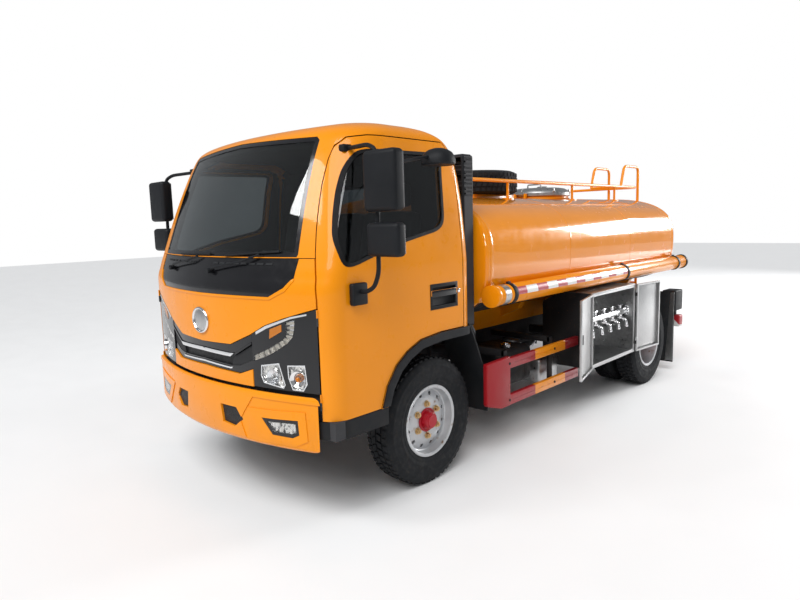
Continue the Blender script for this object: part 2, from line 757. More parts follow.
def cab_shell(cab):
    """The hollow cab body, open for doors and glass: its floor, its back, and its roof with the pillars."""
    shell = cab_skin("shell", 0.0)
    cut(shell, cut(front_zone(), cab_skin("firewall", PANEL_THICKNESS + SEAT_GAP)))
    for side in (1, -1):
        zone = door_zone(side, DOOR_GAP, -DOOR_GAP / 2)
        cut(shell, cut(zone, cab_skin("door_seat", DOOR_THICKNESS + DOOR_BACK_GAP)))
        over_window = box("over_window", (-1.3, 1.3), (-1.3, 1.0), (DOOR_SEAT_TOP, 2.2))
        cut(shell, common(door_zone(side, DOOR_GAP, -DOOR_GAP / 2), over_window))
        through = door_zone(side, -DOOR_LAP, DOOR_LAP)
        above = box("above_floor", (-1.3, 1.3), (-1.3, 1.0), (FOOT_FLOOR + 0.02, 2.2))
        through = common(through, above)
        behind_seat = box("sill", (-1.3, 1.3), (-0.40, 1.0), (0.5, SEAT_FLOOR + 0.02))
        cut(shell, cut(through, behind_seat))
    cut(shell, cab_floor_space())
    cut(shell, plate("windshield_hole", both_sides(WINDSHIELD_HALF), "Y", -1.3, -0.3))
    cut(shell, plate("rear_hole", REAR_WINDOW, "Y", 0.1, 0.5))
    cut(shell, box("tunnel", (-TUNNEL_HALF, TUNNEL_HALF), (CAB_FRONT + 0.05, 0.6), (0.3, TUNNEL_TOP)))
    cut(shell, box("under_front", (-1.2, 1.2), (-1.3, -0.842), (0.3, UNDERCUT_TOP)))
    for side in (1, -1):
        low, high = sorted((side * (TUNNEL_HALF - 0.01), side * 1.2))
        cut(shell, plate("arch", arch_space(ARCH_TRIM - 0.004), "X", low, high))
        under_floor = sorted((side * (TUNNEL_HALF - 0.01), side * 0.68))
        cut(shell, box("under_floor", under_floor, (-1.0, -0.44), (0.3, 0.77)))
        step = sorted((side * 0.70, side * 1.2))
        cut(shell, box("step_well", step, (-0.735, -0.55), (0.64, 0.77)))
        low, high = sorted((side * 0.66, side * (CAB_HALF_WIDTH - 0.002)))
        sill = [(-0.815, 0.51), (-0.53, 0.51), (-0.515, 0.63), (-0.815, 0.63)]
        sill = plate("sill", sill, "X", low, high)
        join(shell, common(sill, box("sill_room", (-1.2, 1.2), (-0.9, -0.4), (0.4, CAB_BOTTOM + 0.004))))
        for height in HINGE_HEIGHTS:
            join(shell, hinge_leaf(side, 0.0, 0.065, height - 0.04, height))
        eye_low, eye_high = sorted((side * 0.120, side * 0.160))
        join(shell, tilt_eye(eye_low, eye_high))

    def part_of(name, *zones):
        body = add_object(name, shell.data.copy())
        zone = join(*zones) if len(zones) > 1 else zones[0]
        finish(common(body, zone), name, cab, ORANGE)

    wide, half_gap = (-1.3, 1.3), SEAT_GAP / 2
    floor = box("low", wide, (-1.3, BACK_START - half_gap), (0.3, ROOF_START - half_gap))
    back = box("rear", wide, (BACK_START + half_gap, 1.0), (0.3, BACK_TOP - half_gap))
    front_top = box("front_top", wide, (-1.3, BACK_START - half_gap), (ROOF_START + half_gap, 2.4))
    rear_top = box("rear_top", wide, (BACK_START - 0.01, 1.0), (BACK_TOP + half_gap, 2.4))
    part_of("cab_floor", floor)
    part_of("cab_back", back)
    part_of("cab_roof", front_top, rear_top)
    bpy.data.objects.remove(shell)


def tilt_eye(low, high):
    """One ear behind the firewall, bored for the pivot bar."""
    y, z = TILT_AXIS
    ear = [(y - 0.040, z - 0.04), (y, z - 0.024), *arc((y, z), 0.024, -80, 80, 6), (y - 0.040, z + 0.06)]
    ear = plate("ear", ear, "X", low, high)
    return cut(ear, rod("bore", (low - 0.05, y, z), (high + 0.05, y, z), 0.0128))


def skin_piece(name, outline, outer, inner, gap=PANEL_GAP / 2):
    """A panel on the cab's front: the layer between two insets inside an outline."""
    layer = slab(name, outer, inner)
    return common(layer, plate(name, grown(outline, -gap), "Y", -1.3, -0.5))


def trimmed_to_doors(piece):
    for side in (1, -1):
        cut(piece, door_side(side, DOOR_GAP / 2 - DOOR_PANEL_GAP))
    return piece


def front_panels(cab):
    """The painted front panel, the black cowl, the grille, the painted strip and the lamp pods."""
    cowl = both_sides(list(COWL_EDGE) + [(0.0, COWL_EDGE[-1][1])])
    finish(skin_piece("cowl", cowl, 0.004, PANEL_THICKNESS), "cowl_panel", cab, BLACK, 0.5)

    top = COWL_EDGE[-1][1]
    upper = [*PANEL_EDGE, (0.95, top), (COWL_EDGE[-1][0], top), *reversed(COWL_EDGE[:-1])]
    panel = trimmed_to_doors(skin_piece("front_panel", both_sides(upper), 0.0, PANEL_THICKNESS))
    finish(panel, "front_panel", cab, ORANGE)

    inner_edge = [point for point in PANEL_EDGE if point[0] <= POD_INNER]
    lower_edge = [*STRIP_TOP]
    grille = both_sides([*lower_edge, (POD_INNER, 0.83), (POD_INNER, 1.0145), *reversed(inner_edge)])
    face = skin_piece("grille", grille, 0.012, PANEL_THICKNESS)
    for low, high, width in ((0.878, 0.898, 0.30), (0.814, 0.824, 0.35)):
        bar = both_sides([(0.0, low), (width, low + 0.002), (width + 0.02, high + 0.012),
                          (width - 0.02, high), (0.0, high + 0.004)])
        join(face, skin_piece("bar", bar, 0.002, 0.025, 0.0))
    finish(face, "grille", cab, BLACK, 0.35)

    strip_half = [(0.0, STRIP_BOTTOM), (POD_INNER, STRIP_BOTTOM), (POD_INNER, 0.831), *reversed(STRIP_TOP)]
    painted = skin_piece("strip", both_sides(strip_half), 0.0, PANEL_THICKNESS)
    finish(painted, "lower_panel", cab, ORANGE)

    for side, name in ((1, "headlamp_left"), (-1, "headlamp_right")):
        outline = [(POD_INNER, POD_BOTTOM), (0.95, POD_BOTTOM), *reversed(PANEL_EDGE[2:]),
                   (POD_INNER, 1.0145)]
        pod = skin_piece("pod", mirrored_to(side, outline), 0.003, PANEL_THICKNESS)
        lamps = (
            ((0.492, 0.858), (0.613, 0.880), (0.648, 0.769), (0.634, 0.747), (0.505, 0.764), (0.487, 0.799)),
            ((0.661, 0.872), (0.767, 0.881), (0.777, 0.783), (0.752, 0.745), (0.688, 0.745), (0.663, 0.807)),
        )
        for lamp in lamps:
            pocket = plate("pocket", mirrored_to(side, lamp), "Y", -1.3, -0.6)
            cut(pod, cut(pocket, cab_skin("pocket_floor", 0.020)))
        finish(trimmed_to_doors(pod), name, cab, BLACK, 0.2)


def cab_glass(cab):
    """The windshield and the rear window, each bedded in its frame."""
    layer = slab("windshield", 0.003, 0.003 + GLASS_THICKNESS)
    outline = grown(both_sides(WINDSHIELD_HALF), -SEAT_GAP)
    windshield = common(layer, plate("pane", outline, "Y", -1.3, -0.4))
    finish(windshield, "windshield", cab, (0.05, 0.07, 0.08), 0.05)
    layer = slab("rear_window", 0.003, 0.003 + GLASS_THICKNESS)
    rear = common(layer, plate("pane", grown(REAR_WINDOW, -SEAT_GAP), "Y", 0.1, 0.5))
    finish(rear, "rear_window", cab, (0.05, 0.07, 0.08), 0.05)


def cab_interior(cab):
    """The dashboard across the firewall and the seats on the raised floor."""
    front = CAB_WALL + 0.0008
    section = [(-1.2, 1.06), (-0.66, 1.06), (-0.60, 1.14), (-0.64, 1.21), (-0.76, 1.30), (-1.2, 1.33)]
    body = common(plate("dashboard", section, "X", -0.79, 0.79), cab_skin("inside", front))
    join(body, steering_column())
    finish(body, "dashboard", cab, (0.03, 0.03, 0.032), 0.7)
    height = (SEAT_FLOOR + SEAT_GAP, SEAT_FLOOR + 0.16)
    bench = rounded_box("base", (-0.66, 0.66), (-0.30, 0.12), height, 0.03, 1)
    for x in (-0.42, 0.0, 0.42):
        half = 0.22 if x else 0.17
        back = plate("back", [(-0.02, 1.14), (0.08, 1.14), (0.19, 1.62), (0.12, 1.64), (0.06, 1.55)], "X",
                     x - half, x + half)
        join(bench, back)
        if x:
            head = rounded_box("head", (x - 0.13, x + 0.13), (0.10, 0.18), (1.60, 1.80), 0.025, 1)
            join(bench, head)
    finish(bench, "seats", cab, (0.10, 0.10, 0.11), 0.85)


def fenders(cab):
    """The black trims that lie on the cab's side round the wheel arches."""
    for side, name in ((1, "fender_left"), (-1, "fender_right")):
        low, high = sorted((side * 0.80, side * 1.2))
        outline = grown([*ARCH_OUTLINE, (ARCH_OUTLINE[-1][0], CAB_BOTTOM)], -DOOR_GAP)
        wheel_room = plate("arch", arch_space(ARCH_TRIM), "X", low, high)
        band = cut(plate("band", outline, "X", low, high), wheel_room)
        finish(common(slab(name, -0.012, -SEAT_GAP), band), name, cab, BLACK, 0.6)


def door(cab, side, names):
    """A whole door with its window hole, handle recess and hinge barrels, its glass and its mirrors."""
    body = slab("door", 0.0, DOOR_THICKNESS)
    common(body, door_zone(side, 0.0, DOOR_GAP / 2))
    low, high = sorted((side * 0.6, side * 1.2))
    cut(body, plate("window", WINDOW_OUTLINE, "X", low, high))
    recess_x = sorted((side * (CAB_HALF_WIDTH - 0.022), side * 1.2))
    cut(body, box("recess", recess_x, (-0.085, 0.135), (1.083, 1.205)))
    handle_x = sorted((side * (CAB_HALF_WIDTH - 0.010), side * (CAB_HALF_WIDTH + 0.004)))
    join(body, box("handle", handle_x, (-0.090, 0.140), (1.150, 1.180)))
    for height in HINGE_HEIGHTS:
        join(body, hinge_leaf(side, 0.012, 0.016, height + SEAT_GAP, height + 0.04))
    axis = hinge_axis(side)
    hinge = pivot(names + "_hinge", (axis.x, axis.y, 0.9), cab)
    finish(body, names, hinge, ORANGE)
    layer = slab("glass", GLASS_DEPTH, GLASS_DEPTH + GLASS_THICKNESS)
    glass = common(layer, plate("pane", grown(WINDOW_OUTLINE, -SEAT_GAP), "X", low, high))
    finish(glass, names.replace("door", "door_glass"), hinge, (0.05, 0.07, 0.08), 0.05)
    finish(mirror(side), names.replace("door", "mirror"), hinge, BLACK, 0.5)


MIRROR_X = 1.08


def mirror(side):
    """The mirror pole with its two arms and heads, held by a pad above and a block on the door."""
    pole = tube("pole", mirrored_to(side, [
        (0.868, -0.632, 1.240), (0.99, -0.645, 1.235), (1.05, -0.64, 1.26), (MIRROR_X, -0.635, 1.33),
        (MIRROR_X, -0.625, 1.87), (1.06, -0.62, 1.915), (1.0, -0.605, 1.938), (0.70, -0.510, 1.950),
    ]), 0.011)
    skin = CAB_HALF_WIDTH + 0.0008
    block = sorted((side * skin, side * (skin + 0.035)))
    cut(pole, box("door_face", sorted((side * 0.5, side * skin)), (-0.9, -0.4), (1.1, 1.4)))
    join(pole, rounded_box("block", block, (-0.70, -0.60), (1.17, 1.28), 0.008, 1))
    for low, high, top in ((1.41, 1.57, False), (1.62, 1.90, True)):
        lo_x, hi_x = sorted((side * 1.030, side * 1.240))
        head = rounded_box("head", (lo_x, hi_x), (-0.680 if top else -0.670, -0.600), (low, high), 0.022, 2)
        join(pole, head)
    pad = cut(
        box("pad", sorted((side * 0.70, side * 0.90)), (-0.58, -0.49), (1.905, 1.970)),
        cab_skin("pad_seat", -0.0006),
    )
    keep = common(common(pad, cab_skin("pad_outside", -0.022)), door_zone(side, -DOOR_GAP, DOOR_GAP))
    pole = cut(pole, cab_skin("pole_end", -0.004))
    join(pole, keep)
    if side > 0:
        path = [(MIRROR_X, -0.63, 1.80), (1.07, -0.45, 1.86), (1.06, -0.20, 1.90)]
        join(pole, tube("dome_arm", path, 0.009))
        join(pole, dome())
    return pole


def dome():
    """The round third mirror, a shallow bowl facing down."""
    profile = [(0.0, 1.955), (0.07, 1.945), (0.115, 1.91), (0.125, 1.86), (0.11, 1.85), (0.0, 1.85)]
    return turned("dome", profile, (1.06, -0.12, 0), (0, 0, 1), 16, closed=False)


STEERING_PLACE = (0.38, -0.575, 1.36)
STEERING_AXIS = Vector((0, 0.34, 0.94)).normalized()


def steering_wheel(cab):
    """The rim, three spokes and hub on the end of a column through the dashboard's top."""
    centre = Vector(STEERING_PLACE)
    rim = []
    for i in range(14):
        angle = math.tau * i / 14
        rim.append((0.20 * math.cos(angle), 0.20 * math.sin(angle), 0.0))
    turn = STEERING_AXIS.to_track_quat("Z", "Y").to_matrix().to_4x4()
    place = Matrix.Translation(centre) @ turn
    wheel = tube("rim", [place @ Vector(point) for point in rim], 0.013, 1, closed=True)
    for angle in (90, 210, 330):
        end = Vector((0.2 * math.cos(math.radians(angle)), 0.2 * math.sin(math.radians(angle)), 0))
        join(wheel, rod("spoke", place @ Vector((0, 0, -0.02)), place @ end, 0.011, 8))
    join(wheel, rod("hub", place @ Vector((0, 0, -0.045)), place @ Vector((0, 0, 0.012)), 0.045, 8))
    join(wheel, rod("shaft", place @ Vector((0, 0, -0.09)), place @ Vector((0, 0, -0.03)), 0.018, 12))
    axis = pivot("steering_wheel_axis", STEERING_PLACE, cab)
    return finish(wheel, "steering_wheel", axis, BLACK, 0.6)


def steering_column():
    """The fixed sleeve that carries the steering wheel, rising from the dashboard."""
    centre = Vector(STEERING_PLACE)
    top = centre - STEERING_AXIS * (0.09 + SEAT_GAP)
    return rod("sleeve", top - STEERING_AXIS * 0.16, top, 0.032, 12)


# The wheels


def tyre_profile(middle):
    """A tyre's closed section: radius and place across, from the bore round the tread."""
    bore = RIM_RADIUS + SEAT_GAP
    half = [
        (bore, RIM_HALF_WIDTH - 0.005), (0.235, 0.082), (0.300, TYRE_HALF_WIDTH), (0.360, 0.086),
        (TYRE_RADIUS, 0.060),
    ]
    scale = math.cos(math.pi / FACETS)
    section = [(radius / scale, across) for radius, across in half]
    section += [(radius / scale, -across) for radius, across in reversed(half)]
    return [(radius, middle + across) for radius, across in section]


def tyre(name, carrier, middle, y, side):
    made = turned(name, tyre_profile(middle), (0, y, TYRE_RADIUS), (side, 0, 0))
    return finish(made, name, carrier, (0.02, 0.02, 0.02), 0.85)


def barrel_points(middle):
    """The rim's barrel with its two lips, as the outer part of a section."""
    scale = math.cos(math.pi / FACETS)
    lip = RIM_HALF_WIDTH + SEAT_GAP
    edge = lip + LIP_THICKNESS
    points = [
        (LIP_RADIUS, edge), (LIP_RADIUS, lip), (RIM_RADIUS, lip), (RIM_RADIUS, -lip), (LIP_RADIUS, -lip),
        (LIP_RADIUS, -edge),
    ]
    return [(radius / scale, middle + across) for radius, across in points]


def front_rim(name, carrier, side):
    """The front disc wheel, dished out towards the hub."""
    m = FRONT_TRACK_HALF
    inner = RIM_RADIUS - 0.012
    profile = [
        *barrel_points(m),
        (inner, m - 0.084), (inner, m + 0.005), (0.170, m + 0.018), (0.105, m + 0.034),
        (HUB_BORE, m + 0.034), (HUB_BORE, m + 0.046), (0.110, m + 0.046), (0.178, m + 0.032),
        (inner, m + 0.045), (inner, m + 0.084),
    ]
    made = turned(name, profile, (0, 0, TYRE_RADIUS), (side, 0, 0))
    return finish(made, name, carrier, STEEL, 0.35, 0.8)


def rear_rim(name, carrier, side):
    """The twin disc wheels as one body: two barrels on the two discs bolted back to back."""
    a, b = REAR_INNER_HALF, REAR_OUTER_HALF
    mid = (a + b) / 2
    inner = RIM_RADIUS - 0.012
    profile = [
        *barrel_points(b),
        (RIM_RADIUS - 0.004, b - 0.085), (RIM_RADIUS - 0.010, mid + 0.012),
        (RIM_RADIUS - 0.010, mid - 0.012),
        (RIM_RADIUS - 0.004, a + 0.085),
        *barrel_points(a),
        (inner, a - 0.084), (inner, mid - 0.030), (0.165, mid - 0.010), (HUB_BORE, mid - 0.010),
        (HUB_BORE, mid + 0.010), (0.165, mid + 0.010), (inner, mid + 0.030), (inner, b + 0.084),
    ]
    made = turned(name, profile, (0, WHEELBASE, TYRE_RADIUS), (side, 0, 0))
    hub = [(HUB_BORE, mid + 0.005), (0.080, mid + 0.005), (0.080, b + 0.030), (0.055, b + 0.045),
           (HUB_BORE, b + 0.045)]
    join(made, turned("hub", hub, (0, WHEELBASE, TYRE_RADIUS), (side, 0, 0)))
    return finish(made, name, carrier, STEEL, 0.35, 0.8)


def knuckle(name, carrier, side):
    """The steering knuckle: a yoke round the kingpin, a brake drum and the wheel's spindle."""
    z = TYRE_RADIUS
    arm = KINGPIN_HALF
    back = arm + 0.045
    top, bottom = BEAM_TOP + 0.0055, z - 0.0555
    across = sorted((side * (arm - 0.03), side * (back + 0.01)))
    yoke = box("upper", across, (-0.032, 0.032), (top, top + 0.028))
    across = sorted((side * back, side * (back + 0.022)))
    join(yoke, box("web", across, (-0.032, 0.032), (bottom - 0.028, top + 0.028)))
    join(yoke, box("lower", across, (-0.032, 0.032), (bottom - 0.028, bottom)))
    cut(yoke, rod("bore", (side * arm, 0, 0.2), (side * arm, 0, 0.6), 0.0148))
    m = FRONT_TRACK_HALF
    join(yoke, rod("drum", (side * (back + 0.01), 0, z), (side * (m - 0.020), 0, z), 0.150, FACETS))
    join(yoke, spindle(side, back + 0.02, m + 0.075, 0))
    return finish(yoke, name, carrier, DARK_STEEL, 0.5, 0.3)


# The tank and its fittings


def tank_ring(y, share):
    ring = []
    power = 2 / TANK_ROUNDNESS
    for i in range(TANK_POINTS):
        angle = math.tau * (i + 0.5) / TANK_POINTS
        c, s = math.cos(angle), math.sin(angle)
        x = math.copysign(abs(c) ** power, c) * TANK_HALF_WIDTH
        z = math.copysign(abs(s) ** power, s) * TANK_HALF_HEIGHT
        ring.append((x * share, y, TANK_AXIS_HEIGHT + z * share))
    return ring


HEAD_STEPS = ((1.0, 0.030), (0.992, 0.010), (0.965, 0.0), (0.72, -0.045), (0.40, -0.085), (0.10, -0.10))


def tank(truck):
    """The tank: a rounded barrel with dished heads, on two sills, with its manhole neck."""
    rings = []
    for share, out in reversed(HEAD_STEPS):
        rings.append(tank_ring(TANK_FRONT + (out if out > 0 else out * TANK_DISH / 0.10), share))
    for share, out in HEAD_STEPS:
        rings.append(tank_ring(TANK_REAR - (out if out > 0 else out * TANK_DISH / 0.10), share))
    body = loft("tank", rings)
    bottom = TANK_AXIS_HEIGHT - TANK_HALF_HEIGHT
    for side in (1, -1):
        across = sorted((side * 0.295, side * RAIL_OUTER))
        join(body, box("sill", across, (0.60, 3.66), (RAIL_TOP + SEAT_GAP, bottom + 0.025)))
    for y in (0.75, 1.45, 2.15, 2.85, 3.50):
        cradle = [(0.35, RAIL_TOP + 0.06), (0.52, bottom - 0.02), (0.57, bottom + 0.06),
                  (0.30, bottom + 0.05),
                  (0.30, RAIL_TOP + 0.06)]
        for side in (1, -1):
            join(body, plate("cradle", mirrored_to(side, cradle), "Y", y - 0.03, y + 0.03))
    neck = rod("neck", (0, MANHOLE_Y, TANK_TOP - 0.06), (0, MANHOLE_Y, COLLAR_TOP), MANHOLE_RADIUS, 24)
    join(body, neck)
    cut(body, rod("manhole", (0, MANHOLE_Y, 1.45), (0, MANHOLE_Y, 1.9), MANHOLE_RADIUS - 0.03, 24))
    hinge_y = MANHOLE_Y - LID_RADIUS - 0.012
    for side in (1, -1):
        low, high = sorted((side * 0.045, side * 0.065))
        ear = [(hinge_y + 0.010, TANK_TOP - 0.02), (hinge_y - 0.02, TANK_TOP - 0.02),
               (hinge_y - 0.015, LID_HINGE_Z + 0.005), (hinge_y + 0.010, LID_HINGE_Z + 0.005)]
        join(body, plate("ear", ear, "X", low, high))
    return finish(body, "tank", truck, ORANGE)


LID_HINGE_Z = 1.79


def manhole_lid(truck):
    """The lid over the neck, turning on a pin between the ears at its front."""
    hinge_y = MANHOLE_Y - LID_RADIUS - 0.012
    profile = [
        (0.0, COLLAR_TOP + 0.085), (0.20, COLLAR_TOP + 0.080), (LID_RADIUS - 0.02, COLLAR_TOP + 0.05),
        (LID_RADIUS, COLLAR_TOP + 0.03), (LID_RADIUS, COLLAR_TOP + SEAT_GAP), (0.0, COLLAR_TOP + SEAT_GAP),
    ]
    lid = turned("lid", profile, (0, MANHOLE_Y, 0), (0, 0, 1), 24, closed=False)
    join(lid, rod("pin", (-0.0447, hinge_y, LID_HINGE_Z), (0.0447, hinge_y, LID_HINGE_Z), 0.010, 10))
    height = (LID_HINGE_Z - 0.006, LID_HINGE_Z + 0.008)
    join(lid, box("arm", (-0.04, 0.04), (hinge_y, MANHOLE_Y - 0.2), height))
    axis = pivot("manhole_lid_hinge", (0, hinge_y, LID_HINGE_Z), truck)
    return finish(lid, "manhole_lid", axis, STEEL)


RAILING_X = 0.45
RAILING_Z = 1.86


def tank_top_height(x):
    """How high the tank's top lies at this distance from the middle."""
    share = 1 - (abs(x) / TANK_HALF_WIDTH) ** TANK_ROUNDNESS
    return TANK_AXIS_HEIGHT + TANK_HALF_HEIGHT * share ** (1 / TANK_ROUNDNESS)


def railing(truck):
    """The rails along the tank's top, the hoops at the rear and the ladder, as one welded frame."""
    foot = tank_top_height(RAILING_X) + 0.0030
    parts = []
    for side in (1, -1):
        x = side * RAILING_X
        parts.append(tube("rail", [
            (x, 0.75, foot), (x, 0.75, RAILING_Z - 0.03), (x, 0.78, RAILING_Z), (x, 3.72, RAILING_Z),
        ], 0.014))
        for y in (1.40, 2.43, 3.30):
            parts.append(rod("post", (x, y, foot), (x, y, RAILING_Z), 0.011, 8))
    for x in (-0.45, 0.45):
        parts.append(tube("rail_end", [(x, 3.70, RAILING_Z), (x, 3.84, RAILING_Z)], 0.014))
    parts.append(tube("end_bar", [(-0.45, 3.84, RAILING_Z), (0.45, 3.84, RAILING_Z)], 0.014))
    for x in (0.13, 0.45):
        parts.append(tube("hoop", [
            (x, 3.45, RAILING_Z), (x, 3.50, 2.03), (x, 3.55, 2.07), (x, 3.80, 2.07), (x, 3.86, 2.03),
            (x, 3.87, 1.90), (x, 3.87, REAR_BAR_TOP + 0.0005),
        ], 0.014))
    parts.append(tube("hoop_bar", [(0.13, 3.45, RAILING_Z), (0.45, 3.45, RAILING_Z)], 0.012))
    for i in range(5):
        height = 0.56 + 0.28 * i
        parts.append(rod("rung", (0.13, 3.87, height), (0.45, 3.87, height), 0.011, 8))
    for x in (0.13, 0.45):
        parts.append(box("foot", (x - 0.015, x + 0.015), (TANK_REAR - 0.035, 3.87), (1.55, 1.58)))
        cut(parts[-1], tank_clearance())
    frame = parts[0]
    for piece in parts[1:]:
        join(frame, piece)
    for side in (1, -1):
        for y in (0.75, 1.40, 2.43, 3.30):
            pad = box("pad", (side * RAILING_X - 0.03, side * RAILING_X + 0.03), (y - 0.04, y + 0.04),
                      (foot - 0.03, foot + 0.006))
            join(frame, cut(pad, tank_clearance()))
    return finish(frame, "railing", truck, ORANGE)


def tank_clearance():
    """The tank's outside grown by the seating gap."""
    rings = []
    grow = 1 + SEAT_GAP / TANK_HALF_HEIGHT * 1.6
    for share, out in reversed(HEAD_STEPS):
        rings.append(tank_ring(TANK_FRONT + out - 0.0005, share * grow))
    for share, out in HEAD_STEPS:
        rings.append(tank_ring(TANK_REAR - out + 0.0005, share * grow))
    return loft("tank_clearance", rings)


def hose_tube(truck, side, name):
    """The long tube for hoses beside the tank, with its end caps and the brackets that carry it."""
    start, end = 0.48, 3.83

    def ring(name, low, high, growth):
        ends = [(side * SIDE_PLANE, y, HOSE_TUBE_HEIGHT) for y in (low, high)]
        return rod(name, *ends, HOSE_TUBE_RADIUS + growth, 12)

    made = ring("tube", start, end, 0.0)
    for low, high in ((start - 0.004, start + 0.035), (end - 0.035, end + 0.004)):
        join(made, ring("cap", low, high, 0.007))
    for y in (0.68, 2.41, 3.60):
        join(made, ring("clamp", y - 0.02, y + 0.02, 0.006))
        across = sorted((side * 0.80, side * (SIDE_PLANE - 0.03)))
        arm = box("arm", across, (y - 0.02, y + 0.02), (HOSE_TUBE_HEIGHT - 0.03, HOSE_TUBE_HEIGHT - 0.005))
        join(made, cut(arm, tank_clearance()))
    return finish(made, name, truck, ORANGE)


CABINET_HINGES = (0.46, 0.88)


def cabinet(truck):
    """The valve cabinet: an open box of sheet with the manifold and its taps inside."""
    inner, outer = CABINET_INNER, CABINET_OUTER
    w = CABINET_WALL
    outline = [(inner, CABINET_BOTTOM), (outer, CABINET_BOTTOM), (outer, CABINET_TOP),
               (inner + 0.16, CABINET_TOP), (inner, CABINET_TOP - 0.085)]
    body = plate("cabinet", outline, "Y", CABINET_FRONT, CABINET_REAR)
    inside = grown(outline, -w)
    inside[1] = (outer + 0.1, inside[1][1])
    inside[2] = (outer + 0.1, inside[2][1])
    cut(body, plate("inside", inside, "Y", CABINET_FRONT + w, CABINET_REAR - w))
    for y in (1.85, 2.31):
        join(body, box("carrier", (RAIL_OUTER + SEAT_GAP, inner + 0.01), (y - 0.03, y + 0.03), (0.60, 0.66)))
    x, z = 0.93, 0.75
    join(body, rod("manifold", (x, CABINET_FRONT + 0.01, z), (x, CABINET_REAR - 0.01, z), 0.030, 12))
    taps = 5
    for i in range(taps):
        y = 1.77 + i * 0.155
        join(body, rod("tap", (x - 0.01, y, z - 0.05), (x + 0.055, y, z - 0.05), 0.018, 6))
        join(body, rod("neck", (x, y, z - 0.055), (x, y, z + 0.06), 0.012, 6))
        join(body, box("lever", (x - 0.006, x + 0.006), (y - 0.03, y + 0.03), (z + 0.055, z + 0.067)))
    for edge, sign in ((CABINET_FRONT, 1), (CABINET_REAR, -1)):
        at = cabinet_hinge(edge, sign)
        for low in CABINET_HINGES:
            join(body, rod("barrel", (at[0], at[1], low), (at[0], at[1], low + 0.03), 0.006, 8))
            across = (outer - 0.008, at[0])
            join(body, box("leaf", across, (at[1] - 0.0015, at[1] + 0.0015), (low, low + 0.03)))
    return finish(body, "cabinet", truck, STEEL)


def cabinet_hinge(edge, sign):
    """The hinge line stands just outside the cabinet's corner."""
    return (CABINET_OUTER + 0.012, edge + sign * 0.004)


DOOR_OPEN = {"cabinet_door_front": 165.0, "cabinet_door_rear": 174.0}


def cabinet_door(truck, name, edge, sign):
    """A cabinet door with a folded rim, drawn closed and then swung open on its hinge."""
    at = cabinet_hinge(edge, sign)
    width = (CABINET_REAR - CABINET_FRONT) / 2 - 0.003
    x0 = CABINET_OUTER + 0.005
    near, far = edge + sign * 0.012, edge + sign * width
    along = sorted((near, far))
    height = (CABINET_BOTTOM + 0.004, CABINET_TOP - 0.004)
    leaf = box("leaf", (x0, x0 + CABINET_DOOR_THICKNESS), along, height)
    pan = box("pan", (x0 - 0.01, x0 + CABINET_DOOR_THICKNESS - 0.004), (along[0] + 0.015, along[1] - 0.015),
              (CABINET_BOTTOM + 0.02, CABINET_TOP - 0.02))
    cut(leaf, pan)
    for low in CABINET_HINGES:
        z0 = low + 0.03 + SEAT_GAP
        join(leaf, rod("barrel", (at[0], at[1], z0), (at[0], at[1], z0 + 0.03), 0.006, 8))
        join(leaf, box("tongue", (at[0] - 0.0015, at[0] + 0.0015), sorted((at[1], near + sign * 0.004)),
                       (z0, z0 + 0.03)))
    if sign > 0:
        lock = box("lock", (x0 + 0.014, x0 + 0.032), (far - 0.075, far - 0.035), (0.64, 0.74))
        join(leaf, lock)
    angle = math.radians(DOOR_OPEN[name]) * -sign
    centre = Vector((at[0], at[1], 0))
    swing = Matrix.Translation(centre) @ Matrix.Rotation(angle, 4, "Z") @ Matrix.Translation(-centre)
    leaf.data.transform(swing)
    axis = pivot(name + "_hinge", (at[0], at[1], 0.7), truck)
    return finish(leaf, name, axis, STEEL)


def side_guard(truck, side, name):
    """The side guard: two rails behind an angled front plate, on two posts from the frame."""
    rails = []
    for low, high in ((0.58, 0.65), (0.33, 0.40)):
        across = sorted((side * (SIDE_PLANE - 0.03), side * SIDE_PLANE))
        rails.append(box("rail", across, (0.66, 1.645), (low, high)))
    guard = rails[0]
    plate_outline = [(0.44, 0.60), (0.60, 0.66), (0.70, 0.66), (0.70, 0.34), (0.52, 0.34), (0.44, 0.42)]
    low, high = sorted((side * (SIDE_PLANE - 0.032), side * (SIDE_PLANE - 0.002)))
    join(guard, plate("front", plate_outline, "X", low, high), rails[1])
    for y in (0.69, 1.28):
        across = sorted((side * (SIDE_PLANE - 0.055), side * (SIDE_PLANE - 0.02)))
        join(guard, box("post", across, (y - 0.02, y + 0.02), (0.34, 0.70)))
        across = sorted((side * (RAIL_OUTER + SEAT_GAP), side * (SIDE_PLANE - 0.03)))
        join(guard, box("arm", across, (y - 0.02, y + 0.02), (0.66, 0.70)))
    return finish(guard, name, truck, (0.6, 0.03, 0.02), 0.4)


def mudguards(truck):
    """The flaps behind the front wheels on one bar under the frame."""
    outline = [(0.31, 0.93), (0.38, 0.79), (0.44, 0.65), (0.50, 0.51), (0.49, 0.33)]
    back = [(0.50, 0.33), (0.51, 0.512), (0.45, 0.656), (0.39, 0.796), (0.318, 0.936)]
    pieces = []
    for side in (1, -1):
        low, high = sorted((side * 0.62, side * 0.89))
        pieces.append(plate("flap", outline + back, "X", low, high))
        low, high = sorted((side * 0.62, side * 0.66))
        pieces.append(box("arm", (low, high), (0.502, 0.600), (0.515, 0.545)))
    bar = box("bar", (-0.66, 0.66), (0.57, 0.60), (RAIL_BOTTOM - 0.04, RAIL_BOTTOM - SEAT_GAP))
    return finish(join(bar, *pieces), "mudguards", truck, BLACK, 0.7)


